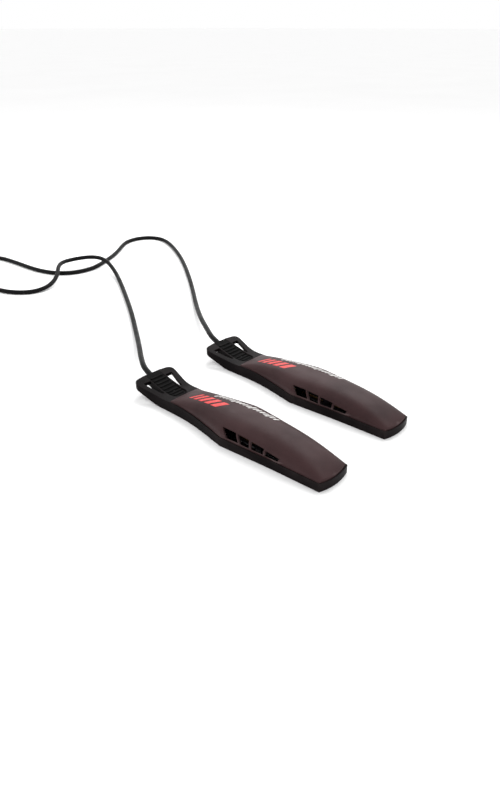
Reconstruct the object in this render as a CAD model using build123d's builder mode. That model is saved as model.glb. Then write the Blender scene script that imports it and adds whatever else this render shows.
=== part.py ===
from build123d import *
import os
from math import cos, pi, radians, sin, tan

# A pair of electric boot dryers: two slim heated inserts lying side by side, each on its own lead.
# The leads meet in a moulded Y-junction, and one coiled supply lead ends in a flat two-pin mains plug.
# Millimetres. +X points to the toes, +Z up. The origin is on the floor under the middle of the pair.

os.makedirs("parts", exist_ok=True)

# ---------------------------------------------------------------- driving dimensions
REAR_X = -3.6          # rear edge of the handle, in a dryer's own frame
TOE_X = 194.8          # tip of the curved toe edge
TOE_CORNER_X = 192.0
PITCH_Y = 85.4         # spacing of the two dryers
STAGGER_X = 4.0        # the left dryer lies this much further back
DOME_POWER = 2.8       # squareness of the cover's section: 2 is an ellipse
KINK_X = 103.0         # widest station
KINK_HALF = 22.8
NECK_X = 50.0
NECK_HALF = 16.1
TOE_HALF = 16.0
HANDLE_HALF = 20.3
HANDLE_THICK = 5.4
COVER_REAR_X = 38.6
SKIN = 1.6             # moulded wall of the cover and floor of the tray
WALL = 2.0             # side wall of the tray
LIP = 0.9              # outer lip that the cover drops into
REBATE = 1.5
FIT = 0.1              # clearance between fitted mouldings

CORD_D = 5.0
CORD_R = CORD_D / 2
CORD_LEVEL_X = 24.0    # the lead runs level in front of this station and climbs behind it
CORD_LEVEL_Z = 4.5
CORD_EXIT_Z = 11.9
CORD_END_X = 56.0      # where the outer sheath is stripped
CORD_OUT_X = -12.0     # the lead runs straight out of the handle to here
RUN_SHARE = 0.45       # share of the shorter run that each bend of a cord may use

GRIP_HALF = 7.2
GRIP_END_X = 37.6
RIB_COUNT = 8
RIB_STEP = 4.0
RIB_FIRST_X = 3.4
RIB_WIDTH = 2.0
RIB_RISE = 0.9
MOUTH_FLARE = 0.6
MOUTH_LONG = 7.0

HANDLE_DECK = 3.0      # thickness left above the handle's hollow underside
HANDLE_HOLLOW = [(-1.4, 8.3), (-1.2, 13.4), (2.6, 18.0), (10.0, 17.3), (21.0, 15.1), (26.0, 14.6),
                 (26.0, 8.3)]
FINGER_SLOT = [(5.0, 8.6), (23.5, 8.9), (23.5, 10.4), (5.0, 15.2)]

CASE_SCREWS = [(63.0, 10.4), (63.0, -10.4), (170.0, 9.4), (170.0, -9.4)]
CLAMP_X = 49.5
CLAMP_SCREWS = [(CLAMP_X, 6.4), (CLAMP_X, -6.4)]
HEATER_SCREWS = [(87.0, 0.0), (149.0, 0.0)]

# Each station of the cover: x, half-width at the rim, height of the rim, height of the crown.
REAR_STATIONS = [
    (38.6, 16.3, 9.5, 10.5),
    (53.0, 16.1, 9.3, 15.0),
    (68.0, 17.1, 9.0, 18.0),
    (85.0, 19.6, 8.4, 20.0),
    (103.0, 22.8, 7.6, 21.0),
]
FRONT_STATIONS = [
    (103.0, 22.8, 7.6, 21.0),
    (130.0, 20.2, 7.3, 21.2),
    (150.0, 18.5, 7.1, 20.4),
    (166.0, 17.5, 7.0, 18.2),
    (181.0, 16.7, 6.9, 14.0),
    (196.0, 16.0, 6.8, 7.4),
]

pieces = {}            # every piece of one dryer, in the dryer's own frame


# ---------------------------------------------------------------- outlines
def half_outline(side, inset):
    """Points of one side of the plan outline, from the handle to the toe corner."""
    handle = [(4.0, HANDLE_HALF), (10.0, 19.2), (21.0, 17.0)]
    neck = [(34.0, 16.3), (NECK_X, NECK_HALF), (68.0, 17.1), (85.0, 19.6), (KINK_X, KINK_HALF)]
    front = [(130.0, 20.2), (150.0, 18.5), (170.0, 17.3), (TOE_CORNER_X - inset, TOE_HALF)]
    return [[(x, side * (y - inset)) for x, y in run] for run in (handle, neck, front)]


def plan_outline(inset=0.0):
    """Closed plan outline of a dryer in the current BuildLine, drawn in by inset."""
    ends = []
    for side in (1, -1):
        handle, neck, front = half_outline(side, inset)
        Spline(*handle, *neck)
        Spline(neck[-1], *front)
        ends.append((handle[0], front[-1]))
    (rear_left, toe_left), (rear_right, toe_right) = ends
    corner = [(1.2, 20.2), (-1.3, 18.6), (-2.7, 15.0), (REAR_X, 9.0)]
    Spline(rear_left, *corner)
    Line((REAR_X, corner[-1][1]), (REAR_X, -corner[-1][1]))
    Spline(*[(x, -y) for x, y in reversed(corner)], rear_right)
    ThreePointArc(toe_left, (TOE_X - inset, 0), toe_right)


def rim_line(drop):
    """Height of the rim along the dryer, as spline points, lowered by drop."""
    points = [(29.0, 9.1), (COVER_REAR_X, 9.5), (68.0, 9.0), (KINK_X, 7.6), (150.0, 7.1), (200.0, 6.8)]
    return [(x, z - drop) for x, z in points]


def handle_top_line():
    """Height of the upturned handle's top, as spline points."""
    return [(REAR_X, 15.6), (6.0, 13.3), (17.0, 10.7), (29.0, 9.1)]


def top_line():
    """Side profile of the tray and handle, as a closed wire in the current BuildLine."""
    rim = rim_line(0)
    Spline(*handle_top_line(), *rim[1:])
    Polyline(rim[-1], (rim[-1][0], 0), (27.0, 0))
    Spline((27.0, 0), (20.0, 1.0), (12.0, 4.3), (4.0, 7.8), (REAR_X, 15.6 - HANDLE_THICK))
    Line((REAR_X, 15.6 - HANDLE_THICK), (REAR_X, 15.6))


def lead_height(x):
    """Height of the lead's centre line inside the handle."""
    slope = (CORD_EXIT_Z - CORD_LEVEL_Z) / (CORD_LEVEL_X - REAR_X)
    return CORD_LEVEL_Z + slope * max(0.0, CORD_LEVEL_X - x)


# ---------------------------------------------------------------- cords and wires
def bend_radii(points):
    """The largest arc that each corner of a route leaves room for."""
    vectors = [Vector(*b) - Vector(*a) for a, b in zip(points, points[1:])]
    return [RUN_SHARE * min(a.length, b.length) / tan(radians(a.get_angle(b) / 2))
            for a, b in zip(vectors, vectors[1:])]


def tube(points, radius):
    """Round tube along straight runs joined by tangent arcs."""
    with BuildPart() as swept:
        with BuildLine() as path:
            FilletPolyline(*points, radius=bend_radii(points))
        with BuildSketch(Plane(origin=path.line @ 0, z_dir=path.line % 0)):
            Circle(radius)
        sweep()
    return swept.part


# ---------------------------------------------------------------- cover sections
def cover_section(x, half, rim, crown, skin):
    """One closed section of the cover at station x; skin > 0 gives the section of its hollow."""
    foot = half - LIP - FIT - skin
    low = rim - 0.75 * skin
    rise = crown - skin - low
    dome = [(foot * cos(radians(a)) ** (2 / DOME_POWER), low + rise * sin(radians(a)) ** (2 / DOME_POWER))
            for a in (0, 14, 38, 64)]
    with BuildSketch(Plane.YZ.offset(x)) as section:
        with BuildLine():
            Spline(*dome, (0, low + rise), *[(-y, z) for y, z in reversed(dome)])
            Polyline((-foot, low), (-foot, 3.0), (foot, 3.0), (foot, low))
        make_face()
    return section.sketch


def cover_loft(stations, skin):
    return loft([cover_section(*station, skin) for station in stations])


# ---------------------------------------------------------------- grip insert
def grip_envelope(widen):
    """Outer body of the rubber grip; widen grows its top so that it can cut the channel."""
    with BuildPart() as envelope:
        with BuildSketch():
            with Locations(((REAR_X + GRIP_END_X - GRIP_HALF) / 2, 0)):
                Rectangle(GRIP_END_X - GRIP_HALF - REAR_X, 2 * GRIP_HALF)
            with Locations((GRIP_END_X - GRIP_HALF, 0)):
                Circle(GRIP_HALF)
        extrude(amount=30)
        with BuildSketch(Plane.XZ) as side:
            with BuildLine():
                low = [(x, lead_height(x) - 3.3) for x in (REAR_X, CORD_LEVEL_X)]
                top = [(x, lead_height(x) + 3.6 + widen) for x in (CORD_LEVEL_X + 1, REAR_X)]
                Polyline(*low, (50, low[1][1]), (50, top[0][1] + 0.9), *top, close=True)
            make_face()
        extrude(amount=30, both=True, mode=Mode.INTERSECT)
    return envelope.part


def inner_route():
    """The lead's first points: level in the tray, then straight up through the handle and out."""
    return [(x, 0, lead_height(x)) for x in (CORD_END_X, CORD_LEVEL_X, CORD_OUT_X)]


def lead_bore(radius):
    """Solid along the lead's path inside the dryer."""
    return tube(inner_route(), radius)


with BuildPart() as grip_insert:
    add(grip_envelope(0))
    for i in range(RIB_COUNT):
        x = RIB_FIRST_X + i * RIB_STEP
        half = GRIP_HALF - 0.7 if x < GRIP_END_X - GRIP_HALF else 5.2
        with BuildSketch(Plane.XY.offset(lead_height(x) + 2.0)):
            with Locations((x, 0)):
                RectangleRounded(RIB_WIDTH, 2 * half, RIB_WIDTH * 0.45)
        extrude(amount=1.6 + RIB_RISE)
    add(lead_bore(CORD_R), mode=Mode.SUBTRACT)
    # bell mouth where the lead starts to bend away
    for x, radius in ((REAR_X, CORD_R + MOUTH_FLARE), (REAR_X + MOUTH_LONG, CORD_R)):
        with BuildSketch(Plane.YZ.offset(x)):
            with Locations((0, lead_height(x))):
                Circle(radius)
    loft(mode=Mode.SUBTRACT)
pieces["grip_insert"] = grip_insert.part

# ---------------------------------------------------------------- lower shell: tray and handle frame
with BuildPart() as lower_shell:
    with BuildSketch():
        with BuildLine():
            plan_outline()
        make_face()
    extrude(amount=20)
    with BuildSketch(Plane.XZ):
        with BuildLine():
            top_line()
        make_face()
    extrude(amount=40, both=True, mode=Mode.INTERSECT)

    # pocket of the tray and the rebate that the cover drops into
    for inset, drop, rear in ((WALL, None, COVER_REAR_X + 2.6), (LIP, REBATE, COVER_REAR_X)):
        with BuildSketch(mode=Mode.PRIVATE) as pocket:
            with BuildLine():
                plan_outline(inset)
            make_face()
            with Locations((rear - 100, 0)):
                Rectangle(200, 100, mode=Mode.SUBTRACT)
        with BuildPart(mode=Mode.PRIVATE) as hollow:
            add(pocket.sketch)
            extrude(amount=20)
            if drop is None:
                split(bisect_by=Plane.XY.offset(SKIN), keep=Keep.TOP)
            else:
                with BuildSketch(Plane.XZ):
                    with BuildLine():
                        low = rim_line(drop)
                        Spline(*low)
                        Polyline(low[-1], (low[-1][0], 25), (low[0][0], 25), low[0])
                    make_face()
                extrude(amount=40, both=True, mode=Mode.INTERSECT)
        add(hollow.part, mode=Mode.SUBTRACT)

    # hollow underside of the handle, each side of the grip channel
    with BuildPart(mode=Mode.PRIVATE) as underside:
        for side in (1, -1):
            with BuildSketch():
                with BuildLine():
                    Polyline(*[(x, side * y) for x, y in HANDLE_HOLLOW], close=True)
                make_face()
        extrude(amount=20)
        with BuildSketch(Plane.XZ):
            with BuildLine():
                ceiling = [(x, z - HANDLE_DECK) for x, z in handle_top_line()]
                Spline(*ceiling)
                Polyline(ceiling[-1], (ceiling[-1][0], -5), (REAR_X, -5), ceiling[0])
            make_face()
        extrude(amount=40, both=True, mode=Mode.INTERSECT)
    add(underside.part, mode=Mode.SUBTRACT)

    # tapered finger slots each side of the grip
    for side in (1, -1):
        with BuildSketch():
            with BuildLine():
                Polyline(*[(x, side * y) for x, y in FINGER_SLOT], close=True)
            make_face()
        extrude(amount=20, mode=Mode.SUBTRACT)
    add(grip_envelope(12), mode=Mode.SUBTRACT)
    add(lead_bore(CORD_R + FIT), mode=Mode.SUBTRACT)

    # pillars for the case screws, the clamp and the heater
    for (x, y), radius, top in ([(p, 3.4, 4.0) for p in CASE_SCREWS]
                                + [(p, 2.3, CORD_LEVEL_Z) for p in CLAMP_SCREWS]
                                + [(p, 2.6, 3.6) for p in HEATER_SCREWS]):
        with BuildSketch(Plane.XY.offset(SKIN)):
            with Locations((x, y)):
                Circle(radius)
        extrude(amount=top - SKIN)
    with Locations(*[Location((x, y, 0), (180, 0, 0)) for x, y in CASE_SCREWS]):
        CounterBoreHole(radius=1.5, counter_bore_radius=2.8, counter_bore_depth=2.2, depth=8)
    for spots, top in ((CLAMP_SCREWS, CORD_LEVEL_Z), (HEATER_SCREWS, 3.6)):
        for x, y in spots:
            with Locations((x, y, top)):
                Hole(radius=0.9, depth=2.4)
pieces["lower_shell"] = lower_shell.part


# ---------------------------------------------------------------- top cover
# The vents are drawn on a plane that leans with the cover's flanks. Each corner is (x, height up the plane).
VENT_LEAN = 35.0
VENT_PLANE = 15.0      # distance of that plane from the dryer's axis, inside the cover's wall
VENTS = [
    [(103.4, 1.9), (116.3, 2.3), (119.8, -4.1), (108.4, -4.7)],
    [(117.9, 2.1), (128.9, 1.9), (130.2, -4.1), (121.3, -4.2)],
    [(130.4, 1.6), (142.9, 1.0), (142.3, -3.4), (131.7, -3.8)],
    [(144.1, 0.3), (156.6, -0.6), (155.4, -3.0), (143.7, -3.5)],
]

# the screw bosses end half way through the wall, under this surface
rear_limit = cover_loft(REAR_STATIONS, SKIN / 2)
front_limit = cover_loft(FRONT_STATIONS, SKIN / 2)

with BuildPart() as top_cover:
    add(cover_loft(REAR_STATIONS, 0))
    add(cover_loft(FRONT_STATIONS, 0))
    with BuildSketch(mode=Mode.PRIVATE) as drop_in:
        with BuildLine():
            plan_outline(LIP + FIT)
        make_face()
    with BuildPart(mode=Mode.PRIVATE) as drop_in_body:
        add(drop_in.sketch)
        extrude(amount=30)
    add(drop_in_body.part, mode=Mode.INTERSECT)
    for stations in (REAR_STATIONS, FRONT_STATIONS):
        first_x = stations[0][0] + (SKIN if stations is REAR_STATIONS else 0)
        hollow = [(first_x, *stations[0][1:]), *stations[1:]]
        if stations is FRONT_STATIONS:
            hollow[-1] = (TOE_CORNER_X - 1.2, *stations[-1][1:])
        add(cover_loft(hollow, SKIN), mode=Mode.SUBTRACT)
    # everything below the rebate's floor belongs to the tray
    with BuildSketch(Plane.XZ) as below:
        with BuildLine():
            low = rim_line(REBATE - FIT)
            Spline(*low)
            Polyline(low[-1], (low[-1][0], -5), (low[0][0], -5), low[0])
        make_face()
    extrude(amount=40, both=True, mode=Mode.SUBTRACT)
    # screw bosses under the crown
    for x, y in CASE_SCREWS:
        with BuildPart(mode=Mode.PRIVATE) as boss:
            with BuildSketch(Plane.XY.offset(4.0 + FIT)):
                with Locations((x, y)):
                    Circle(3.0)
            extrude(amount=14)
            add(rear_limit if x < KINK_X else front_limit, mode=Mode.INTERSECT)
        add(boss.part)
    with Locations(*[Location((x, y, 4.0), (180, 0, 0)) for x, y in CASE_SCREWS]):
        Hole(radius=1.1, depth=5.5)
    # fanned vents along both flanks
    for side in (1, -1):
        outward = (0, side * cos(radians(VENT_LEAN)), sin(radians(VENT_LEAN)))
        for corners in VENTS:
            with BuildSketch(Plane(origin=(0, 0, 0), x_dir=(1, 0, 0), z_dir=outward).offset(VENT_PLANE)):
                with BuildLine():
                    Polyline(*[(x, -side * rise) for x, rise in corners], close=True)
                make_face()
            extrude(amount=30, mode=Mode.SUBTRACT)
pieces["top_cover"] = top_cover.part


# ---------------------------------------------------------------- cable clamp and its screws
CLAMP_HALF = 9.2
CLAMP_TOP = 8.6
with BuildPart() as cable_clamp:
    with BuildSketch(Plane.YZ.offset(CLAMP_X - 3.0)):
        with BuildLine():
            flank = [(CLAMP_HALF, CORD_LEVEL_Z), (CLAMP_HALF, 6.4), (7.6, 7.0), (4.0, 7.0), (2.4, CLAMP_TOP)]
            Polyline(*flank, *[(-y, z) for y, z in reversed(flank)], close=True)
        make_face()
        with Locations((0, CORD_LEVEL_Z)):
            Circle(CORD_R, mode=Mode.SUBTRACT)
    extrude(amount=6.0)
    with Locations(*[(x, y, 7.0) for x, y in CLAMP_SCREWS]):
        Hole(radius=1.1)
pieces["cable_clamp"] = cable_clamp.part


def screw_set(spots, head_z, head_radius, head_height, shank_radius, shank_length, up):
    """Identical pan-head screws; up is 1 when the shank points up and -1 when it points down."""
    with BuildPart() as screws:
        for x, y in spots:
            with BuildSketch(Plane(origin=(x, y, head_z), z_dir=(0, 0, up))):
                Circle(head_radius)
            extrude(amount=head_height)
            with BuildSketch(Plane(origin=(x, y, head_z + up * head_height), z_dir=(0, 0, up))):
                Circle(shank_radius)
            extrude(amount=shank_length)
            with BuildSketch(Plane(origin=(x, y, head_z), z_dir=(0, 0, up))):
                Rectangle(head_radius * 1.3, 0.5)
                Rectangle(0.5, head_radius * 1.3)
            extrude(amount=head_height * 0.5, mode=Mode.SUBTRACT)
    return screws.part


pieces["case_screws"] = screw_set(CASE_SCREWS, 0.5, 2.5, 1.7, 1.1, 6.6, 1)
pieces["clamp_screws"] = screw_set(CLAMP_SCREWS, 8.3, 1.9, 1.3, 0.9, 4.4, -1)

# ---------------------------------------------------------------- heater
HEATER_X0 = 83.0
HEATER_X1 = 153.0
HEATER_HALF = 11.0
HEATER_Z = 3.6
PLATE = 1.2
FILM = 0.2
STRIP = 0.4
STONE = 2.4
STACK_X0 = 93.0
STACK_X1 = 143.0
STACK_HALF = 7.5
HEATER_MID_X = (HEATER_X0 + HEATER_X1) / 2


def slab(x0, x1, half, z0, z1, mid_y=0.0):
    """Flat rectangular block."""
    with BuildPart() as block:
        with BuildSketch(Plane.XY.offset(z0)):
            with Locations(((x0 + x1) / 2, mid_y)):
                Rectangle(x1 - x0, 2 * half)
        extrude(amount=z1 - z0)
    return block.part


with BuildPart() as heat_shield:
    add(slab(HEATER_X0 - 2, HEATER_X1 + 2, 13.5, SKIN, SKIN + 0.3))
    with Locations(*[(x, y, SKIN + 0.3) for x, y in HEATER_SCREWS]):
        Hole(radius=2.8)
pieces["heat_shield"] = heat_shield.part

with BuildPart() as heater_base:
    add(slab(HEATER_X0, HEATER_X1, HEATER_HALF, HEATER_Z, HEATER_Z + PLATE))
    with Locations(*[(x, y, HEATER_Z + PLATE) for x, y in HEATER_SCREWS]):
        Hole(radius=1.1)
pieces["heater_base"] = heater_base.part

film_low = HEATER_Z + PLATE
strip_low = film_low + FILM
stone_low = strip_low + STRIP
strip_high = stone_low + STONE
film_high = strip_high + STRIP
fins_low = film_high + FILM

with BuildPart() as insulating_films:
    add(slab(STACK_X0 - 1, STACK_X1 + 1, STACK_HALF + 1, film_low, strip_low))
    add(slab(STACK_X0 - 1, STACK_X1 + 1, STACK_HALF + 1, film_high, fins_low))
pieces["insulating_films"] = insulating_films.part

TAB_Y = 5.0
for name, low, tab_y in (("contact_neutral", strip_low, -TAB_Y), ("contact_live", strip_high, TAB_Y)):
    with BuildPart() as contact:
        add(slab(STACK_X0, STACK_X1, STACK_HALF, low, low + STRIP))
        add(slab(78.0, STACK_X0, 1.5, low, low + STRIP, tab_y))
    pieces[name] = contact.part

STONES_X = [HEATER_MID_X - 16.0, HEATER_MID_X, HEATER_MID_X + 16.0]
STONE_LONG = 14.0
STONE_HALF = 5.5
with BuildPart() as ptc_stones:
    for x in STONES_X:
        add(slab(x - STONE_LONG / 2, x + STONE_LONG / 2, STONE_HALF, stone_low, strip_high))
pieces["ptc_stones"] = ptc_stones.part

with BuildPart() as stone_frame:
    add(slab(STACK_X0, STACK_X1, STACK_HALF, stone_low, strip_high))
    for x in STONES_X:
        with BuildSketch(Plane.XY.offset(stone_low)):
            with Locations((x, 0)):
                Rectangle(STONE_LONG, 2 * STONE_HALF)
        extrude(amount=STONE, mode=Mode.SUBTRACT)
pieces["stone_frame"] = stone_frame.part

FIN_COUNT = 5
FIN_TOP = 11.2
with BuildPart() as heater_fins:
    add(slab(STACK_X0 - 1, STACK_X1 + 1, HEATER_HALF, fins_low, fins_low + PLATE))
    with BuildSketch(Plane.XY.offset(fins_low + PLATE)):
        with Locations((HEATER_MID_X, 0)):
            with GridLocations(0, 3.2, 1, FIN_COUNT):
                Rectangle(STACK_X1 - STACK_X0, 0.9)
    extrude(amount=FIN_TOP - fins_low - PLATE)
pieces["heater_fins"] = heater_fins.part

CLIP = 0.5
CLIP_REACH = 2.4
with BuildPart() as stack_clips:
    for x in (HEATER_MID_X - 14.0, HEATER_MID_X + 14.0):
        for side in (1, -1):
            inner, outer = side * HEATER_HALF, side * (HEATER_HALF + CLIP)
            tip = side * (HEATER_HALF - CLIP_REACH)
            top = fins_low + PLATE
            with BuildSketch(Plane.YZ.offset(x - 3.0)):
                with BuildLine():
                    Polyline((tip, top), (inner, top), (inner, HEATER_Z), (tip, HEATER_Z),
                             (tip, HEATER_Z - CLIP), (outer, HEATER_Z - CLIP), (outer, top + CLIP),
                             (tip, top + CLIP), close=True)
                make_face()
            extrude(amount=6.0)
pieces["stack_clips"] = stack_clips.part
pieces["heater_screws"] = screw_set(HEATER_SCREWS, HEATER_Z + PLATE + 1.2, 1.9, 1.2, 0.9, 3.4, -1)

# ---------------------------------------------------------------- fuse, crimps and cores
WIRE_R = 0.6
FUSE_Z = 6.0
FUSE_X0 = 63.5
FUSE_X1 = 72.5
with BuildPart() as thermal_fuse:
    with BuildSketch(Plane.YZ.offset(FUSE_X0)):
        with Locations((TAB_Y, FUSE_Z)):
            Circle(1.7)
    extrude(amount=FUSE_X1 - FUSE_X0)
    with BuildSketch(Plane.YZ.offset(FUSE_X0 - 2.5)):
        with Locations((TAB_Y, FUSE_Z)):
            Circle(0.5)
    extrude(amount=FUSE_X1 - FUSE_X0 + 5.0)
pieces["thermal_fuse"] = thermal_fuse.part

with BuildPart() as fuse_sleeve:
    with BuildSketch(Plane.YZ.offset(FUSE_X0 - 1.0)):
        with Locations((TAB_Y, FUSE_Z)):
            Circle(2.1)
            Circle(1.7, mode=Mode.SUBTRACT)
    extrude(amount=FUSE_X1 - FUSE_X0 + 2.0)
pieces["fuse_sleeve"] = fuse_sleeve.part

fuse_lead = (FUSE_X0 - 2.5, TAB_Y, FUSE_Z)
with BuildPart() as core_live:
    add(tube([(CORD_END_X, 1.1, CORD_LEVEL_Z), (57.6, 1.2, CORD_LEVEL_Z), (59.4, TAB_Y, FUSE_Z), fuse_lead],
             WIRE_R))
pieces["core_live"] = core_live.part

with BuildPart() as core_neutral:
    add(tube([(CORD_END_X, -1.1, CORD_LEVEL_Z), (61.0, -1.3, CORD_LEVEL_Z), (67.0, -4.9, 5.2),
              (75.0, -TAB_Y, 5.2)], WIRE_R))
pieces["core_neutral"] = core_neutral.part

with BuildPart() as crimp_terminals:
    for mid_y, wire_x, wire_z, tab_z in ((TAB_Y, FUSE_X1 + 2.5, FUSE_Z, strip_high),
                                         (-TAB_Y, 75.0, 5.2, strip_low)):
        with BuildSketch(Plane.YZ.offset(wire_x)):
            with Locations((mid_y, wire_z)):
                Circle(1.3)
        extrude(amount=78.0 - wire_x)
        with BuildSketch(Plane.YZ.offset(78.0)):
            with Locations((mid_y, max(wire_z, tab_z + STRIP + 0.5))):
                Rectangle(2.4, 1.0)
        extrude(amount=4.0)
        add(slab(77.4, 78.0, 1.2, min(wire_z, tab_z), max(wire_z, tab_z + STRIP + 1.0), mid_y))
pieces["crimp_terminals"] = crimp_terminals.part

# ---------------------------------------------------------------- write both dryers
right_x = STAGGER_X / 2 - (REAR_X + TOE_X) / 2
left_x = right_x - STAGGER_X
DRYERS = {"right": (right_x, -PITCH_Y / 2), "left": (left_x, PITCH_Y / 2)}


def write(name, part):
    part.label = name
    export_step(part, f"parts/{name}.step")
    print(f"{name}: {part.volume:.1f} mm3, {len(part.solids())} solid(s), valid {part.is_valid}")


for side, (x, y) in DRYERS.items():
    for name, piece in pieces.items():
        write(f"{side}_{name}", piece.moved(Location((x, y, 0))))

# ---------------------------------------------------------------- cord routes on the floor
FLOOR_Z = CORD_R       # centre height of a cord that lies on the floor
JUNCTION_TURN = 255.0  # heading of the junction's axis, degrees from +X
JUNCTION_AT = Vector(-555.6, -34.7, 4.5)
JUNCTION_LONG = 34.0
JUNCTION_GAP = 7.2     # spacing of the two leads where they enter
COIL_AT = (-519.0, -85.5)
COIL_RING = 27.5       # radius of the middle of the coil's turns
COIL_THICK = 15.0      # three turns wide
COIL_HIGH = 10.2       # two turns high
COIL_LIFT = 0.6        # the tie passes underneath

junction_axis = Vector(1, 0, 0).rotate(Axis.Z, JUNCTION_TURN)
junction_side = Vector(0, 0, 1).cross(junction_axis)
right_entry = JUNCTION_AT + junction_side * (JUNCTION_GAP / 2)
left_entry = JUNCTION_AT - junction_side * (JUNCTION_GAP / 2)
junction_exit = JUNCTION_AT + junction_axis * JUNCTION_LONG
STRAIGHT_IN = 16.0     # each cord runs straight for this far beside the junction


def placed(points, origin):
    """A dryer's own points, in the frame of the pair."""
    return [(x + origin[0], y + origin[1], z) for x, y, z in points]


def approach(entry):
    """The last two points of a lead, straight into the junction."""
    return [(*(entry - junction_axis * STRAIGHT_IN),), (*entry,)]


RIGHT_ROUTE = placed(inner_route(), DRYERS["right"]) + [
    (-130, -28, 12.5), (-160, -7, 8.0), (-199, 19, 3.2), (-244, 48, 2.5), (-290, 75, 2.6), (-334, 100, 2.5),
    (-364, 114, 6.5), (-391, 121, 12.5), (-413, 117, 12.5), (-427, 100, 10.5), (-425, 78, 11.5),
    (-409, 62, 12.5), (-391, 50, 9.5), (-379, 32, 4.0), (-377, 10, 2.5), (-390, -7, 2.5), (-412, -17, 2.5),
    (-444, -20, 2.5), (-480, -16, 2.5), (-510, -7, 2.5), (-531, -8, 3.4),
] + approach(right_entry)

LEFT_ROUTE = placed(inner_route(), DRYERS["left"]) + [
    (-136, 59, 12.5), (-169, 81, 8.0), (-209, 111, 3.2), (-255, 147, 2.5), (-303, 182, 2.5), (-351, 214, 2.5),
    (-397, 239, 2.5), (-429, 252, 2.5), (-451, 250, 2.5), (-465, 233, 2.5), (-464, 210, 2.5), (-451, 191, 2.5),
    (-435, 172, 2.5), (-421, 151, 2.5), (-408, 127, 2.5), (-398, 102, 2.5), (-403, 76, 2.5), (-423, 59, 2.5),
    (-451, 52, 2.5), (-492, 50, 2.5), (-524, 47, 2.5), (-545, 34, 2.5), (-554, 13, 2.8), (-553, -5, 3.6),
] + approach(left_entry)

SUPPLY_ROUTE = [(*junction_exit,), (*(junction_exit + junction_axis * STRAIGHT_IN),)] + [
    (-564, -103, 3.1), (-547, -117, 3.1), (COIL_AT[0], COIL_AT[1] - COIL_RING - 5.0, 3.1),
]

PLUG_TURN = 13.0       # heading of the plug's axis
PLUG_AT = Vector(-446.0, -106.0, 7.5)
TAIL_ROUTE = [
    (COIL_AT[0], COIL_AT[1] - COIL_RING - 2.5, 8.2), (-498, -116, 8.2), (-472, -112, 7.5), (*PLUG_AT,),
]

with BuildPart() as supply_coil:
    with BuildSketch(Plane.XY.offset(COIL_LIFT)):
        with Locations(COIL_AT):
            Circle(COIL_RING + COIL_THICK / 2)
            Circle(COIL_RING - COIL_THICK / 2, mode=Mode.SUBTRACT)
    extrude(amount=COIL_HIGH)
    fillet(supply_coil.edges().filter_by(GeomType.CIRCLE), 2.2)

cords = {
    "right_lead": (RIGHT_ROUTE, None),
    "left_lead": (LEFT_ROUTE, None),
    "supply_lead": (SUPPLY_ROUTE, supply_coil.part),
    "supply_tail": (TAIL_ROUTE, supply_coil.part),
}
for name, (route, cut) in cords.items():
    with BuildPart() as cord:
        add(tube(route, CORD_R))
        if cut:
            add(cut, mode=Mode.SUBTRACT)
    write(name, cord.part)
    with BuildLine() as centre:
        FilletPolyline(*route, radius=bend_radii(route))
    length = sum(edge.length for edge in centre.edges())
    filled = cord.part.volume / (pi * CORD_R**2 * length)
    print(f"  length {length:.0f}, volume over section x length {filled:.4f},",
          "radii", [round(radius) for radius in bend_radii(route)])

# ---------------------------------------------------------------- junction, coil tie and plug
with BuildPart() as y_junction:
    sections = ((0, 15.0, 9.0), (12.0, 14.4, 9.0), (24.0, 9.2, 8.0), (JUNCTION_LONG, 7.6, 7.4))
    for along, width, height in sections:
        centre = JUNCTION_AT + junction_axis * along
        with BuildSketch(Plane(origin=centre, x_dir=junction_side, z_dir=junction_axis)):
            RectangleRounded(width, height, 0.45 * height)
    loft(ruled=True)
write("y_junction", y_junction.part)
write("supply_coil", supply_coil.part)

TIE_WIDE = 8.0
TIE_THICK = 0.6
tie_x = COIL_AT[0] + COIL_RING
with BuildPart() as cord_tie:
    with BuildSketch(Plane(origin=(tie_x, COIL_AT[1] - TIE_WIDE / 2, 0), z_dir=(0, 1, 0), x_dir=(1, 0, 0))):
        with Locations((0, -(COIL_HIGH / 2 + COIL_LIFT))):
            Rectangle(COIL_THICK + 0.8 + 2 * TIE_THICK, COIL_HIGH + 2 * TIE_THICK)
            Rectangle(COIL_THICK + 0.8, COIL_HIGH, mode=Mode.SUBTRACT)
    extrude(amount=TIE_WIDE)
write("cord_tie", cord_tie.part)

plug_axis = Vector(1, 0, 0).rotate(Axis.Z, PLUG_TURN)
plug_side = Vector(0, 0, 1).cross(plug_axis)


def plug_plane(along):
    """Plane across the plug, this far from where the cord enters it."""
    return Plane(origin=PLUG_AT + plug_axis * along, x_dir=plug_side, z_dir=plug_axis)


RELIEF_LONG = 20.0
PLUG_LONG = 35.5
PLUG_WIDE = 26.0
PLUG_HIGH = 13.7
with BuildPart() as plug_body:
    for along, radius in ((0, 3.4), (RELIEF_LONG, 5.0)):
        with BuildSketch(plug_plane(along)):
            Circle(radius)
    loft()
    sections = ((RELIEF_LONG, 12.0, 11.0), (RELIEF_LONG + 12.0, 19.0, PLUG_HIGH),
                (RELIEF_LONG + 22.0, PLUG_WIDE, PLUG_HIGH), (RELIEF_LONG + PLUG_LONG, PLUG_WIDE, PLUG_HIGH))
    for along, width, height in sections:
        with BuildSketch(plug_plane(along)):
            RectangleRounded(width, height, 0.42 * height)
    loft(ruled=True)
write("plug_body", plug_body.part)

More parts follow.
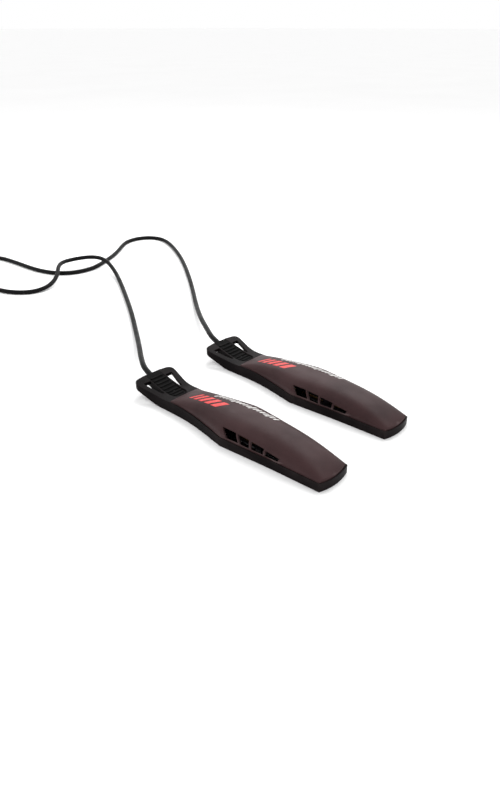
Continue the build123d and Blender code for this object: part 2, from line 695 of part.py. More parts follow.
PIN_SPACING = 18.6
PIN_R = 2.0
PIN_LONG = 19.0
with BuildPart() as plug_pins:
    for side in (1, -1):
        root = PLUG_AT + plug_axis * (RELIEF_LONG + PLUG_LONG) + plug_side * (side * PIN_SPACING / 2)
        with BuildSketch(Plane(origin=root, z_dir=plug_axis)):
            Circle(PIN_R)
        extrude(amount=PIN_LONG)
    along_plug = Axis(origin=(*PLUG_AT,), direction=(*plug_axis,))
    fillet(plug_pins.edges().filter_by(GeomType.CIRCLE).sort_by(along_plug)[-2:], 1.2)
write("plug_pins", plug_pins.part)
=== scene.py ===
import math
import bpy
import bmesh
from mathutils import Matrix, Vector
from mathutils.bvhtree import BVHTree


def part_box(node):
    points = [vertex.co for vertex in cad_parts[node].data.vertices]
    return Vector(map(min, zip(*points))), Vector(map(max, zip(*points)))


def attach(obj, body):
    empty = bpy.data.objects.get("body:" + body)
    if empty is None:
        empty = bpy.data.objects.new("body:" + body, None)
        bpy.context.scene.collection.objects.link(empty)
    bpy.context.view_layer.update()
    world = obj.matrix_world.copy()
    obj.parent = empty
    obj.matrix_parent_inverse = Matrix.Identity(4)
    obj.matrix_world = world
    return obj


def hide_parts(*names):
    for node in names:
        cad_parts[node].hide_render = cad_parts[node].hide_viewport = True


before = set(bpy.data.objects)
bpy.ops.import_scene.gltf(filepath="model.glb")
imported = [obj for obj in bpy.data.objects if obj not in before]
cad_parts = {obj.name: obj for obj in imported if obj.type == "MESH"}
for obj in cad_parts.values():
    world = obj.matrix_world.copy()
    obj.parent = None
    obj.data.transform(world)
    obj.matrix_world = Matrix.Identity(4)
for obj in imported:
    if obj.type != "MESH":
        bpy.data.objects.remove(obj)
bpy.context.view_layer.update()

MM = 0.001
SIDES = ("right", "left")

# ---------------------------------------------------------------- places read from the frame
REAR_X = -3.6            # a dryer's own rear edge, in millimetres


def dryer_origin(side):
    """Where a dryer's own frame stands: its reference point on the floor, in metres."""
    low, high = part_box(f"{side}_lower_shell")
    return Vector((low.x - REAR_X * MM, (low.y + high.y) / 2, 0))


ORIGIN = {side: dryer_origin(side) for side in SIDES}


# ---------------------------------------------------------------- shader helpers
def linear(red, green, blue):
    """A display colour of 0 to 255 as linear light."""
    return tuple(((c / 255 + 0.055) / 1.055) ** 2.4 if c > 10 else c / 255 / 12.92
                 for c in (red, green, blue)) + (1.0,)


class Shader:
    """A material under construction, with short ways to add and join its nodes."""

    def __init__(self, name):
        self.material = bpy.data.materials.new(name)
        self.material.use_nodes = True
        self.tree = self.material.node_tree
        self.main = self.tree.nodes["Principled BSDF"]
        self.place = self.tree.nodes.new("ShaderNodeTexCoord").outputs["Object"]

    def node(self, kind, **values):
        made = self.tree.nodes.new(kind)
        for key, value in values.items():
            setattr(made, key, value)
        return made

    def join(self, source, target):
        self.tree.links.new(source, target)

    def noise(self, scale, detail=3.0, roughness=0.5, stretch=None):
        made = self.node("ShaderNodeTexNoise")
        made.inputs["Scale"].default_value = scale
        made.inputs["Detail"].default_value = detail
        made.inputs["Roughness"].default_value = roughness
        self.join(self.stretched(stretch) if stretch else self.place, made.inputs["Vector"])
        return made.outputs["Fac"]

    def stretched(self, scale):
        mapping = self.node("ShaderNodeMapping")
        mapping.inputs["Scale"].default_value = scale
        self.join(self.place, mapping.inputs["Vector"])
        return mapping.outputs["Vector"]

    def ramp(self, source, low, high, start=0.3, end=0.7):
        """Colours from low to high as source goes from start to end."""
        made = self.node("ShaderNodeValToRGB")
        made.color_ramp.elements[0].position = start
        made.color_ramp.elements[0].color = low
        made.color_ramp.elements[1].position = end
        made.color_ramp.elements[1].color = high
        self.join(source, made.inputs["Fac"])
        return made.outputs["Color"]

    def span(self, source, low, high, start=0.3, end=0.7):
        """A number from low to high as source goes from start to end."""
        made = self.node("ShaderNodeMapRange")
        for key, value in (("From Min", start), ("From Max", end), ("To Min", low), ("To Max", high)):
            made.inputs[key].default_value = value
        self.join(source, made.inputs["Value"])
        return made.outputs["Result"]

    def mix(self, factor, first, tint):
        """Blend from a colour socket to a fixed tint by a factor socket."""
        made = self.node("ShaderNodeMix", data_type="RGBA")
        self.join(factor, made.inputs[0])
        self.join(first, made.inputs[6])
        made.inputs[7].default_value = tint
        return made.outputs[2]

    def bump(self, source, distance, strength=1.0):
        made = self.node("ShaderNodeBump")
        made.inputs["Strength"].default_value = strength
        made.inputs["Distance"].default_value = distance
        self.join(source, made.inputs["Height"])
        self.join(made.outputs["Normal"], self.main.inputs["Normal"])

    def colour(self, socket):
        self.join(socket, self.main.inputs["Base Color"])

    def roughness(self, socket):
        self.join(socket, self.main.inputs["Roughness"])

    def set(self, **values):
        for key, value in values.items():
            self.main.inputs[key.replace("_", " ")].default_value = value
        return self


def moulded_plastic(name, dark, light, rough=(0.36, 0.46), grain=1800.0, depth=0.00003, gloss=0.15,
                    edge_wear_and_highlight=None):
    """Moulded plastic: fine grain, faint cloudiness and, if an edge colour is given, sharp edges lightened to
    that colour, partly as scuffed wear and partly as a painted highlight along the edges.
    """
    shader = Shader(name)
    cloudy = shader.ramp(shader.noise(35.0, 4.0), linear(*dark), linear(*light))
    if edge_wear_and_highlight:
        # Sharp edges are lightened: partly scuffed wear, partly a painted highlight along edges and vent
        # ribs.
        edge = shader.node("ShaderNodeNewGeometry").outputs["Pointiness"]
        scuffed_and_highlit_edges = shader.span(edge, 0.0, 0.75, 0.52, 0.60)
        patchy = shader.node("ShaderNodeMath", operation="MULTIPLY")
        shader.join(scuffed_and_highlit_edges, patchy.inputs[0])
        shader.join(shader.span(shader.noise(160.0, 3.0), 0.3, 1.0), patchy.inputs[1])
        cloudy = shader.mix(patchy.outputs[0], cloudy, linear(*edge_wear_and_highlight))
    shader.colour(cloudy)
    shader.roughness(shader.span(shader.noise(90.0, 5.0), *rough))
    shader.bump(shader.noise(grain, 2.0, 0.6), depth)
    return shader.set(Specular_IOR_Level=gloss).material


# ---------------------------------------------------------------- materials
def cord_jacket():
    """Satin black PVC sheath with a faint uneven grain."""
    shader = Shader("cord_jacket")
    shader.colour(shader.ramp(shader.noise(60.0, 4.0), linear(9, 9, 10), linear(19, 18, 19)))
    shader.roughness(shader.span(shader.noise(140.0, 4.0), 0.34, 0.5))
    shader.bump(shader.noise(700.0, 3.0, 0.6), 0.00004)
    return shader.set(Specular_IOR_Level=0.07).material


def grip_rubber():
    """Soft black rubber: matt and finely pebbled."""
    shader = Shader("grip_rubber")
    shader.colour(shader.ramp(shader.noise(110.0, 5.0, 0.6), linear(9, 9, 9), linear(20, 19, 19)))
    shader.roughness(shader.span(shader.noise(220.0, 4.0), 0.55, 0.72))
    shader.bump(shader.noise(2600.0, 2.0, 0.5), 0.00004)
    return shader.set(Specular_IOR_Level=0.03).material


def printed_ink(name, low, high):
    """Pad-printed ink, slightly uneven."""
    shader = Shader(name)
    shader.colour(shader.ramp(shader.noise(420.0, 4.0), linear(*low), linear(*high)))
    shader.roughness(shader.span(shader.noise(500.0, 3.0), 0.38, 0.52))
    shader.bump(shader.noise(1500.0, 2.0), 0.00001)
    return shader.set(Specular_IOR_Level=0.4).material


def metal(name, low, high, rough, brushed=(1.0, 1.0, 1.0), grain=900.0, depth=0.00001):
    """Bare or plated metal with a drawn grain."""
    shader = Shader(name)
    shader.colour(shader.ramp(shader.noise(200.0, 4.0, 0.5, brushed), linear(*low), linear(*high)))
    shader.roughness(shader.span(shader.noise(grain, 3.0, 0.5, brushed), *rough))
    shader.bump(shader.noise(grain, 2.0, 0.5, brushed), depth)
    return shader.set(Metallic=1.0).material


def plain_moulding(name, low, high, rough=(0.4, 0.55), grain=900.0, depth=0.00002):
    """Moulded plastic without wear, as on small or inner pieces."""
    return moulded_plastic(name, low, high, rough, grain, depth)


def woven(name, low, high, pitch):
    """Fine woven textile with a diagonal rib."""
    shader = Shader(name)
    wave = shader.node("ShaderNodeTexWave", wave_type="BANDS", bands_direction="DIAGONAL")
    wave.inputs["Scale"].default_value = pitch
    wave.inputs["Distortion"].default_value = 2.0
    shader.join(shader.place, wave.inputs["Vector"])
    shader.colour(shader.ramp(wave.outputs["Fac"], linear(*low), linear(*high)))
    shader.roughness(shader.span(shader.noise(300.0), 0.75, 0.92))
    shader.bump(wave.outputs["Fac"], 0.00015)
    return shader.set(Sheen_Weight=0.3).material


# Edge colours below are partly scuffed wear and partly a painted highlight: the light line along the rim's
# top edge and along the vent ribs.
SHELL = moulded_plastic("shell_plastic", (11, 8, 9), (21, 16, 17), (0.32, 0.44),
                        gloss=0.03, edge_wear_and_highlight=(70, 62, 62))
COVER = moulded_plastic("cover_plastic", (48, 32, 33), (62, 43, 44), (0.38, 0.48),
                        gloss=0.09, edge_wear_and_highlight=(92, 78, 78))
RUBBER = grip_rubber()
JACKET = cord_jacket()
MOULDED = plain_moulding("moulded_rubber", (12, 12, 13), (23, 22, 23), (0.4, 0.55), 1400.0, 0.00003)
PLUG = plain_moulding("plug_plastic", (14, 14, 15), (26, 26, 27), (0.36, 0.5), 1500.0, 0.00004)
RED = printed_ink("red_ink", (196, 34, 36), (222, 52, 50))
WHITE = printed_ink("white_ink", (214, 212, 210), (238, 237, 235))
STEEL = metal("screw_steel", (150, 148, 146), (186, 184, 180), (0.26, 0.42), (1.0, 1.0, 0.2))
NICKEL = metal("pin_nickel", (196, 192, 184), (226, 222, 214), (0.16, 0.3), (0.1, 1.0, 1.0))
TIE = woven("tie_fabric", (14, 14, 15), (42, 42, 44), 900.0)

ALONG = (0.05, 1.0, 1.0)    # grain drawn out along X
ACROSS = (1.0, 0.1, 1.0)    # grain drawn out along Y

INNER = {
    "cable_clamp": plain_moulding("inner_plastic", (22, 21, 21), (36, 35, 34)),
    "stone_frame": plain_moulding("frame_plastic", (24, 22, 21), (38, 35, 33)),
    "case_screws": STEEL,
    "clamp_screws": STEEL,
    "heater_screws": STEEL,
    "heat_shield": metal("foil", (214, 214, 216), (238, 238, 240), (0.12, 0.3), grain=260.0, depth=0.0001),
    "heater_base": metal("heater_aluminium", (44, 44, 46), (62, 62, 65), (0.4, 0.55), ALONG),
    "heater_fins": metal("fin_aluminium", (46, 46, 48), (64, 64, 67), (0.4, 0.55), ALONG),
    "insulating_films": plain_moulding("film", (40, 22, 12), (56, 32, 17), (0.3, 0.4), 300.0),
    "contact_neutral": metal("contact_brass", (186, 150, 82), (212, 178, 108), (0.25, 0.38), ALONG),
    "contact_live": metal("contact_brass_live", (186, 150, 82), (212, 178, 108), (0.25, 0.38), ALONG),
    "crimp_terminals": metal("crimp_brass", (176, 142, 80), (206, 172, 104), (0.25, 0.4)),
    "ptc_stones": plain_moulding("ceramic", (34, 32, 33), (50, 47, 48), (0.5, 0.7), 1600.0),
    "stack_clips": metal("blued_steel", (40, 36, 40), (60, 54, 58), (0.4, 0.55), ACROSS),
    "thermal_fuse": metal("fuse_metal", (190, 190, 192), (216, 216, 218), (0.15, 0.28)),
    "fuse_sleeve": woven("sleeve", (206, 202, 188), (232, 228, 216), 2200.0),
    "core_live": plain_moulding("core_brown", (82, 44, 24), (104, 58, 32), (0.25, 0.38)),
    "core_neutral": plain_moulding("core_blue", (20, 52, 128), (34, 72, 156), (0.25, 0.38)),
}


def paint(node, material):
    """Give a CAD node a material in its own slots."""
    piece = bpy.data.objects[node]
    piece.data.materials.clear()
    piece.data.materials.append(material)


for side in SIDES:
    for name, material in INNER.items():
        paint(f"{side}_{name}", material)


# ---------------------------------------------------------------- curves
def curve_through(points):
    """A smooth function through (x, y) points, by cubic Hermite pieces."""
    xs, ys = zip(*points)
    slopes = []
    for i in range(len(xs)):
        low, high = max(i - 1, 0), min(i + 1, len(xs) - 1)
        slopes.append((ys[high] - ys[low]) / (xs[high] - xs[low]))

    def value(x):
        x = min(max(x, xs[0]), xs[-1])
        i = max(k for k in range(len(xs) - 1) if xs[k] <= x)
        step = xs[i + 1] - xs[i]
        t = (x - xs[i]) / step
        return ((2 * t**3 - 3 * t**2 + 1) * ys[i] + (t**3 - 2 * t**2 + t) * step * slopes[i]
                + (3 * t**2 - 2 * t**3) * ys[i + 1] + (t**3 - t**2) * step * slopes[i + 1])
    return value


def corner_curve(before, corner, after, count=6):
    """Points that round a corner off, between two points on its sides."""
    return [tuple((1 - t) ** 2 * a + 2 * t * (1 - t) * b + t * t * c
                  for a, b, c in zip(before, corner, after))
            for t in [i / count for i in range(count + 1)]]


def finished(name, mesh, material, smooth=True):
    """Turn a bmesh into a piece that rides on the root."""
    bmesh.ops.recalc_face_normals(mesh, faces=mesh.faces)
    data = bpy.data.meshes.new(name)
    mesh.to_mesh(data)
    mesh.free()
    data.materials.append(material)
    for polygon in data.polygons:
        polygon.use_smooth = smooth
    piece = bpy.data.objects.new(name, data)
    bpy.context.collection.objects.link(piece)
    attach(piece, "root")
    return piece


# ---------------------------------------------------------------- cords
JUNCTION_AT = Vector((-555.6, -34.7, 4.5))
JUNCTION_HEADING = math.radians(255.0)
JUNCTION_LONG = 34.0
JUNCTION_GAP = 7.2
STRAIGHT_IN = 16.0
CORD_D = 5.0
CORD_LEVEL_Z = 4.5
CORD_END_X = 56.0
CORD_LEVEL_X = 24.0
CORD_OUT_X = -12.0
CORD_SLOPE = 0.2681
AXIS = Vector((math.cos(JUNCTION_HEADING), math.sin(JUNCTION_HEADING), 0.0))
SIDEWAYS = Vector((-AXIS.y, AXIS.x, 0.0))
JUNCTION_EXIT = JUNCTION_AT + AXIS * JUNCTION_LONG

ROUTES = {
    "right": [
        (-130, -28, 12.5), (-160, -7, 8.0), (-199, 19, 3.2), (-244, 48, 2.5), (-290, 75, 2.6),
        (-334, 100, 2.5), (-364, 114, 6.5), (-391, 121, 12.5), (-413, 117, 12.5), (-427, 100, 10.5),
        (-425, 78, 11.5), (-409, 62, 12.5), (-391, 50, 9.5), (-379, 32, 4.0), (-377, 10, 2.5),
        (-390, -7, 2.5), (-412, -17, 2.5), (-444, -20, 2.5), (-480, -16, 2.5), (-510, -7, 2.5),
        (-531, -8, 3.4),
    ],
    "left": [
        (-136, 59, 12.5), (-169, 81, 8.0), (-209, 111, 3.2), (-255, 147, 2.5), (-303, 182, 2.5),
        (-351, 214, 2.5), (-397, 239, 2.5), (-429, 252, 2.5), (-451, 250, 2.5), (-465, 233, 2.5),
        (-464, 210, 2.5), (-451, 191, 2.5), (-435, 172, 2.5), (-421, 151, 2.5), (-408, 127, 2.5),
        (-398, 102, 2.5), (-403, 76, 2.5), (-423, 59, 2.5), (-451, 52, 2.5), (-492, 50, 2.5),
        (-524, 47, 2.5), (-545, 34, 2.5), (-554, 13, 2.8), (-553, -5, 3.6),
    ],
}
SUPPLY_START = [(-564, -103, 3.1), (-547, -117, 3.1)]
TAIL = [(-519, -115.5, 8.2), (-498, -116, 8.2), (-472, -112, 7.5)]
PLUG_AT = Vector((-446, -106, 7.5))
COIL_AT = Vector((-519, -85.5))
COIL_TURNS = [(32.5, 3.1), (27.5, 3.1), (22.5, 3.1), (25.0, 8.2), (30.0, 8.2)]   # radius and height
TURN_POINTS = 14
HOLD = 0.6                # share of a turn that keeps its radius before it drifts to the next


def cord_piece(name, points):
    """A round cord along one smooth spline, points in millimetres."""
    curve = bpy.data.curves.new(name, "CURVE")
    curve.dimensions = "3D"
    curve.bevel_depth = CORD_D / 2 * MM
    curve.bevel_resolution = 6
    curve.resolution_u = 10
    curve.use_fill_caps = True
    spline = curve.splines.new("NURBS")
    spline.points.add(len(points) - 1)
    for point, place in zip(spline.points, points):
        point.co = (*(c * MM for c in place), 1.0)
    spline.order_u = 3
    spline.use_endpoint_u = True
    piece = bpy.data.objects.new(name, curve)
    bpy.context.collection.objects.link(piece)
    curve.materials.append(JACKET)
    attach(piece, "root")
    return piece


def lead_height(x):
    """Height of a lead's centre line inside its handle."""
    return CORD_LEVEL_Z + CORD_SLOPE * max(0.0, CORD_LEVEL_X - x)


def lead_points(side, lane):
    """A lead's route: out of the handle, along the floor and into the junction's lane."""
    start = ORIGIN[side] / MM
    inside = [(start.x + x, start.y, lead_height(x)) for x in (CORD_END_X, CORD_LEVEL_X, CORD_OUT_X)]
    entry = JUNCTION_AT + SIDEWAYS * (lane * JUNCTION_GAP / 2)
    return inside + ROUTES[side] + [entry - AXIS * STRAIGHT_IN, entry]


def coil_points():
    """The supply cord's coil: every turn follows its own radius and height, drifting into the next."""
    points = []
    for i, (radius, height) in enumerate(COIL_TURNS):
        after_radius, after_height = COIL_TURNS[min(i + 1, len(COIL_TURNS) - 1)]
        for k in range(TURN_POINTS):
            share = max(0.0, (k / TURN_POINTS - HOLD) / (1 - HOLD))
            r = radius + (after_radius - radius) * share
            z = height + (after_height - height) * share
            angle = math.radians(-90 + 360 * k / TURN_POINTS)
            points.append((COIL_AT.x + r * math.cos(angle), COIL_AT.y + r * math.sin(angle), z))
    return points


for side, lane in (("right", 1), ("left", -1)):
    cord_piece(f"{side}_lead_cord", lead_points(side, lane))
    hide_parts(f"{side}_lead")
supply_points = [JUNCTION_EXIT, JUNCTION_EXIT + AXIS * STRAIGHT_IN, *SUPPLY_START,
                 *coil_points(), *TAIL, PLUG_AT]
supply = cord_piece("supply_cord", supply_points)
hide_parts("supply_lead", "supply_tail", "supply_coil")


# ---------------------------------------------------------------- casings
MERGE_GAP = 0.00002
FLAT_ANGLE = 0.6          # facets that turn less than this are joined, in degrees
EDGE_ANGLE = 28.0         # edges that turn more than this are rounded
SHELL_EDGE = 0.0004
COVER_EDGE = 0.0003


def soften(node, material, edge, offset="OFFSET"):
    """Carry a CAD moulding over with rounded edges and its own material."""
    piece = bpy.data.objects[node]
    paint(node, material)
    for polygon in piece.data.polygons:
        polygon.use_smooth = True
    weld = piece.modifiers.new("weld", "WELD")
    weld.merge_threshold = MERGE_GAP
    flat = piece.modifiers.new("flat", "DECIMATE")
    flat.decimate_type = "DISSOLVE"
    flat.angle_limit = math.radians(FLAT_ANGLE)
    bevel = piece.modifiers.new("edges", "BEVEL")
    bevel.width = edge
    bevel.offset_type = offset
    bevel.segments = 3
    bevel.limit_method = "ANGLE"
    bevel.angle_limit = math.radians(EDGE_ANGLE)
    bevel.use_clamp_overlap = False
    bevel.miter_outer = "MITER_ARC"
    normals = piece.modifiers.new("normals", "WEIGHTED_NORMAL")
    normals.keep_sharp = True


for side in SIDES:
    soften(f"{side}_lower_shell", SHELL, SHELL_EDGE)
    # A plain offset throws spikes off the cover's thin rear corners.
    soften(f"{side}_top_cover", COVER, COVER_EDGE, offset="ABSOLUTE")
    soften(f"{side}_grip_insert", RUBBER, COVER_EDGE)


# ---------------------------------------------------------------- printed marks
INK_THICK = 0.00005
ABOVE_Z = 60.0            # height that the marks are dropped on to the cover from


def cover_surface(side):
    """The visible cover of a dryer as a tree that rays can be cast against."""
    graph = bpy.context.evaluated_depsgraph_get()
    return BVHTree.FromObject(bpy.data.objects[f"{side}_top_cover"], graph)


def printed(name, side, patches, material):
    """Thin printed shapes laid on a cover. Each patch is a list of rungs of (x, y) places, in millimetres."""
    surface = cover_surface(side)
    mesh = bmesh.new()
    for rungs in patches:
        layers = []
        for lift in (INK_THICK, -INK_THICK):
            rows = []
            for rung in rungs:
                row = []
                for x, y in rung:
                    start = ORIGIN[side] + Vector((x, y, ABOVE_Z)) * MM
                    place, normal, _, _ = surface.ray_cast(start, Vector((0, 0, -1)))
                    row.append(mesh.verts.new(place + normal * lift))
                rows.append(row)
            layers.append(rows)
        top, bottom = layers
        last_row, last_col = len(top) - 1, len(top[0]) - 1
        for i in range(last_row):
            for k in range(last_col):
                mesh.faces.new((top[i][k], top[i][k + 1], top[i + 1][k + 1], top[i + 1][k]))
                mesh.faces.new((bottom[i][k], bottom[i + 1][k], bottom[i + 1][k + 1], bottom[i][k + 1]))
        rim = [(0, k) for k in range(last_col)] + [(i, last_col) for i in range(last_row)]
        rim += [(last_row, k) for k in range(last_col, 0, -1)] + [(i, 0) for i in range(last_row, 0, -1)]
        for (i, k), (j, m) in zip(rim, rim[1:] + rim[:1]):
            mesh.faces.new((top[i][k], bottom[i][k], bottom[j][m], top[j][m]))
    return finished(name, mesh, material, smooth=False)


LEAN = 0.7                # the marks lean forward by this share of their height
BAR_WIDTHS = [2.6, 3.4, 4.2, 5.0, 5.8]
BAR_GAP = 2.8
BAR_FIRST_X = 54.0
BAR_TALL = 9.2
BAR_FIRST_Y = -1.0
BAR_DRIFT = 0.06          # the row of bars runs off towards the near flank by this share of its length
BAR_CELLS = 8


def heat_bars():
    """Rungs of every bar of the printed heat level mark, a row of leaning bars that widen towards the toe."""
    bars = []
    x = BAR_FIRST_X
    for wide in BAR_WIDTHS:
        middle = BAR_FIRST_Y - BAR_DRIFT * (x - BAR_FIRST_X)
        lifts = [BAR_TALL * (i / BAR_CELLS - 0.5) for i in range(BAR_CELLS + 1)]
        bars.append([[(x + LEAN * d + wide * k / 4, middle + d) for k in range(5)] for d in lifts])
        x += wide + BAR_GAP
    return bars


TICKS = 18
TICK_FIRST_X = 70.0
TICK_STEP = 3.5
TICK_WIDE = 1.5
TICK_TALL = (3.6, 5.6)
tick_line = curve_through([(60.0, 7.6), (82.0, 9.4), (110.0, 10.2), (132.0, 10.0)])


def tick(index):
    """Rungs of one mark of the printed scale along the cover's far shoulder; every fifth is longer."""
    x = TICK_FIRST_X + index * TICK_STEP
    tall = TICK_TALL[index % 5 == 0]
    y = tick_line(x)
    lifts = [tall * (i / 4 - 0.5) for i in range(5)]
    return [[(x + LEAN * d + k * TICK_WIDE / 2, y + d) for k in range(3)] for d in lifts]


for side in SIDES:
    printed(f"{side}_heat_mark", side, heat_bars(), RED)
    printed(f"{side}_scale_marks", side, [tick(i) for i in range(TICKS)], WHITE)


# ---------------------------------------------------------------- junction, plug and tie
def moulded_loft(name, at, heading, stations, material, groove=None, ring=44, spacing=0.4):
    """A closed body along a level axis. A station is (along, width, height, squareness), in millimetres."""
    axis = Vector((math.cos(heading), math.sin(heading), 0.0))
    across = Vector((-axis.y, axis.x, 0.0))
    width, height, square = (curve_through([(s[0], s[i]) for s in stations]) for i in (1, 2, 3))
    mesh = bmesh.new()
    rows = []
    first, last = stations[0][0], stations[-1][0]
    count = round((last - first) / spacing)
    for i in range(count + 1):
        along = first + (last - first) * i / count
        sunk = groove(along) if groove else 0.0
        power = 2.0 / square(along)
        row = []
        for k in range(ring):
            c, s = math.cos(2 * math.pi * k / ring), math.sin(2 * math.pi * k / ring)
            y = math.copysign(abs(c) ** power, c) * (width(along) / 2 - sunk)
            z = math.copysign(abs(s) ** power, s) * (height(along) / 2 - sunk)
            row.append(mesh.verts.new((at + axis * along + across * y + Vector((0, 0, z))) * MM))
        rows.append(row)
    for near, far in zip(rows, rows[1:]):
        for k in range(ring):
            mesh.faces.new((near[k], near[(k + 1) % ring], far[(k + 1) % ring], far[k]))
    mesh.faces.new(rows[0])
    mesh.faces.new(rows[-1])
    return finished(name, mesh, material)


def relief_grooves(first, last, pitch, depth):
    """Rounded grooves of a strain relief between two places along it."""
    def sunk(along):
        if not first <= along <= last:
            return 0.0
        return depth * (1 - math.cos(2 * math.pi * (along - first) / pitch)) / 2
    return sunk


junction = moulded_loft("y_junction_moulding", JUNCTION_AT, JUNCTION_HEADING, [
    (0.0, 13.4, 7.4, 2.4), (0.5, 14.6, 8.6, 2.4), (1.4, 15.0, 9.0, 2.4), (12.0, 14.4, 9.0, 2.4),
    (18.0, 11.8, 8.6, 2.2), (24.0, 9.2, 8.0, 2.0), (32.6, 7.6, 7.4, 2.0), (33.6, 7.2, 7.0, 2.0),
    (JUNCTION_LONG, 6.4, 6.2, 2.0),
], MOULDED, relief_grooves(22.0, 32.0, 2.5, 0.7))
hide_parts("y_junction")

PLUG_HEADING = math.radians(13.0)
PLUG_FACE = 55.5
PIN_HALF_SPACING = 9.3
SLEEVE_D = 4.14
SLEEVE_LONG = 9.8


def plug_grooves(along):
    """Grooves of the plug's strain relief and of its finger grip."""
    return relief_grooves(2.0, 17.0, 3.0, 0.9)(along) + relief_grooves(24.0, 36.0, 3.0, 0.55)(along)


plug = moulded_loft("plug_moulding", PLUG_AT, PLUG_HEADING, [
    (0.0, 6.0, 6.0, 2.0), (0.8, 6.8, 6.8, 2.0), (18.5, 9.8, 9.6, 2.0), (21.0, 12.0, 11.0, 2.3),
    (27.0, 16.0, 13.0, 2.6), (33.0, 20.0, 13.6, 2.9), (42.0, 25.6, 13.7, 3.2), (46.0, 26.0, 13.7, 3.4),
    (54.2, 26.0, 13.7, 3.4), (55.0, 25.4, 13.1, 3.4), (PLUG_FACE, 24.4, 12.1, 3.4),
], PLUG, plug_grooves)
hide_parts("plug_body")
paint("plug_pins", NICKEL)
plug_across = Vector((-math.sin(PLUG_HEADING), math.cos(PLUG_HEADING), 0.0))
sleeve_stations = [
    (PLUG_FACE - 1.0, SLEEVE_D, SLEEVE_D, 2.0), (PLUG_FACE + SLEEVE_LONG - 0.4, SLEEVE_D, SLEEVE_D, 2.0),
    (PLUG_FACE + SLEEVE_LONG, SLEEVE_D - 0.18, SLEEVE_D - 0.18, 2.0),
]
for label, sign in (("near", -1), ("far", 1)):
    pin_at = PLUG_AT + plug_across * (sign * PIN_HALF_SPACING)
    moulded_loft(f"pin_sleeve_{label}", pin_at, PLUG_HEADING, sleeve_stations,
                                PLUG, ring=32)


def strap(name, path, centre, width, thick, material):
    """A closed flat strap, bent along (x, z) points round a centre, in millimetres."""
    mesh = bmesh.new()
    rows = []
    for i, place in enumerate(path):
        here = Vector(place)
        ahead = Vector(path[min(i + 1, len(path) - 1)]) - Vector(path[max(i - 1, 0)])
        out = Vector((-ahead.y, ahead.x)).normalized() * (thick / 2)
        row = [(here.x + sign * out.x, y, here.y + sign * out.y)
               for sign, y in ((-1, -width / 2), (-1, width / 2), (1, width / 2), (1, -width / 2))]
        rows.append([mesh.verts.new((centre + Vector(p)) * MM) for p in row])
    for near, far in zip(rows, rows[1:]):
        for k in range(4):
            mesh.faces.new((near[k], near[(k + 1) % 4], far[(k + 1) % 4], far[k]))
    mesh.faces.new(rows[0])
    mesh.faces.new(rows[-1])
    piece = finished(name, mesh, material)
    bevel = piece.modifiers.new("edges", "BEVEL")
    bevel.width = thick * 0.3 * MM
    bevel.segments = 2
    bevel.limit_method = "ANGLE"
    bevel.angle_limit = math.radians(50)
    return piece


COIL_RING = 27.5          # radius of the middle of the coil's turns
TIE_WIDE = 8.0
TIE_THICK = 0.6
# The tie's path round the coil, as (x, z) corners with the points before and after each: over the top,
# down the outside, underneath, up the inside, and over its own start to a free end.
TIE_CORNERS = [
    ((4.4, 11.1), (6.3, 11.1), (6.9, 9.4)), ((7.6, 5.6), (8.2, 3.4), (8.2, 2.4)),
    ((8.2, 1.6), (8.2, 0.35), (6.9, 0.35)), ((-6.9, 0.35), (-8.2, 0.35), (-8.2, 1.6)),
    ((-8.2, 2.4), (-8.2, 3.4), (-7.6, 5.6)), ((-6.9, 9.4), (-6.3, 11.1), (-4.4, 11.1)),
    ((0.0, 11.1), (2.2, 11.2), (3.4, 11.65)), ((5.4, 11.9), (6.9, 11.9), (7.5, 10.2)),
]
tie_path = [(3.0, 11.1), (4.4, 11.1)]
for before, corner, after in TIE_CORNERS:
    tie_path += corner_curve(before, corner, after)
tie_at = Vector((COIL_AT.x + COIL_RING, COIL_AT.y, 0.0))
tie = strap("cord_tie_strap", tie_path, tie_at, TIE_WIDE, TIE_THICK, TIE)
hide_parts("cord_tie")


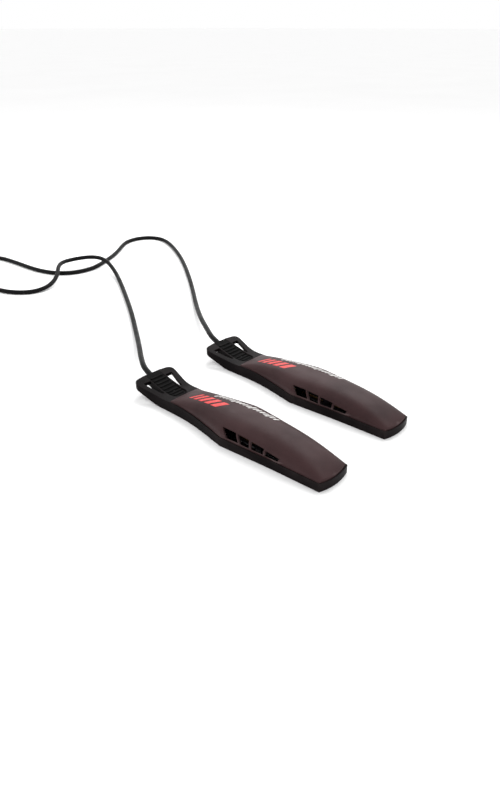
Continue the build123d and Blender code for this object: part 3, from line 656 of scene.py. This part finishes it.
# ---------------------------------------------------------------- floor, light and camera
def studio_floor():
    """Plain pale floor, far larger than the view."""
    mesh = bpy.data.meshes.new("floor")
    reach = 60.0
    corners = [(-reach, -reach, 0), (reach, -reach, 0), (reach, reach, 0), (-reach, reach, 0)]
    mesh.from_pydata(corners, [], [(0, 1, 2, 3)])
    floor = bpy.data.objects.new("floor", mesh)
    bpy.context.collection.objects.link(floor)
    shader = Shader("floor")
    shader.colour(shader.ramp(shader.noise(3.0), linear(250, 250, 250), linear(252, 252, 252)))
    shader.set(Roughness=0.8, Specular_IOR_Level=0.1)
    mesh.materials.append(shader.material)


def area_light(name, at, towards, size, power):
    """Soft box at a place in metres, turned towards another."""
    data = bpy.data.lights.new(name, "AREA")
    data.shape = "RECTANGLE"
    data.size, data.size_y = size
    data.energy = power
    lamp = bpy.data.objects.new(name, data)
    lamp.location = at
    lamp.rotation_euler = (Vector(towards) - Vector(at)).to_track_quat("-Z", "Y").to_euler()
    bpy.context.collection.objects.link(lamp)


studio_floor()
bpy.context.scene.view_settings.view_transform = "Standard"
world = bpy.data.worlds.new("studio")
bpy.context.scene.world = world
world.use_nodes = True
sky = world.node_tree.nodes["Background"]
sky.inputs["Color"].default_value = (1.0, 1.0, 1.0, 1.0)
sky.inputs["Strength"].default_value = 1.0
area_light("key", (-0.25, 0.8, 1.2), (-0.05, 0.05, 0.0), (0.9, 0.7), 9.0)
area_light("fill", (-0.9, -0.5, 0.9), (-0.1, 0.0, 0.0), (1.0, 0.8), 2.5)
area_light("rim", (-0.5, 0.9, 0.6), (-0.05, 0.0, 0.0), (1.2, 0.4), 4.0)

CAMERA_DOWN = 29.95       # how far the camera looks down, in degrees
CAMERA_TURN = 43.35
camera_data = bpy.data.cameras.new("camera")
camera_data.lens = 29.25
camera_data.sensor_width = 36.0
camera = bpy.data.objects.new("camera", camera_data)
camera.location = (0.3042, -0.3445, 0.2735)
camera.rotation_euler = (math.radians(90 - CAMERA_DOWN), 0.0, math.radians(CAMERA_TURN))
bpy.context.collection.objects.link(camera)
bpy.context.scene.camera = camera
